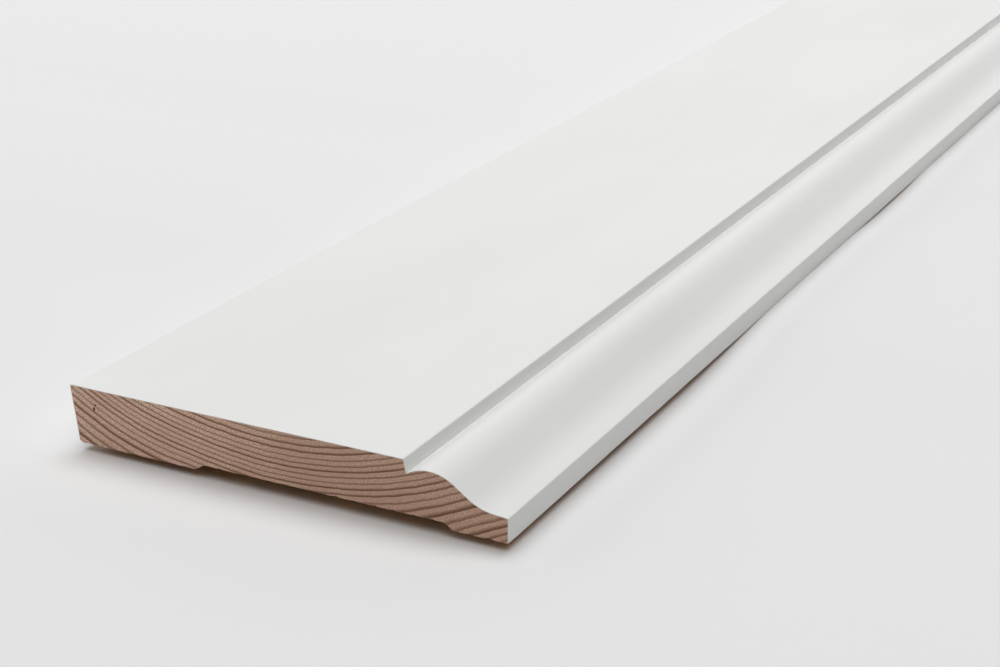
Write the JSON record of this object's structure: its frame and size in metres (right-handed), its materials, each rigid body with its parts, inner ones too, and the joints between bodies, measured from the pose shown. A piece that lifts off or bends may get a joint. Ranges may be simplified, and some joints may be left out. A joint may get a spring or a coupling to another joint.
{
  "type": "skirting board",
  "caption": "Length of white-painted softwood skirting board with a stepped ogee moulding, an undercut floor edge and a relieved back, sawn square at the ends.",
  "frame": {"origin": "on the back plane, at the middle of the board's width and length", "axes": "+X across the board from the floor edge to the moulded top edge, +Y along the board, +Z out of the face"},
  "size_m": [0.12, 0.6, 0.015],
  "materials": {
    "painted_softwood": "white satin paint on the face, the moulding and the long edges; bare pine at the sawn ends and on the back"
  },
  "bodies": {
    "root": {"skirting_board": "painted_softwood"}
  },
  "joints": []
}
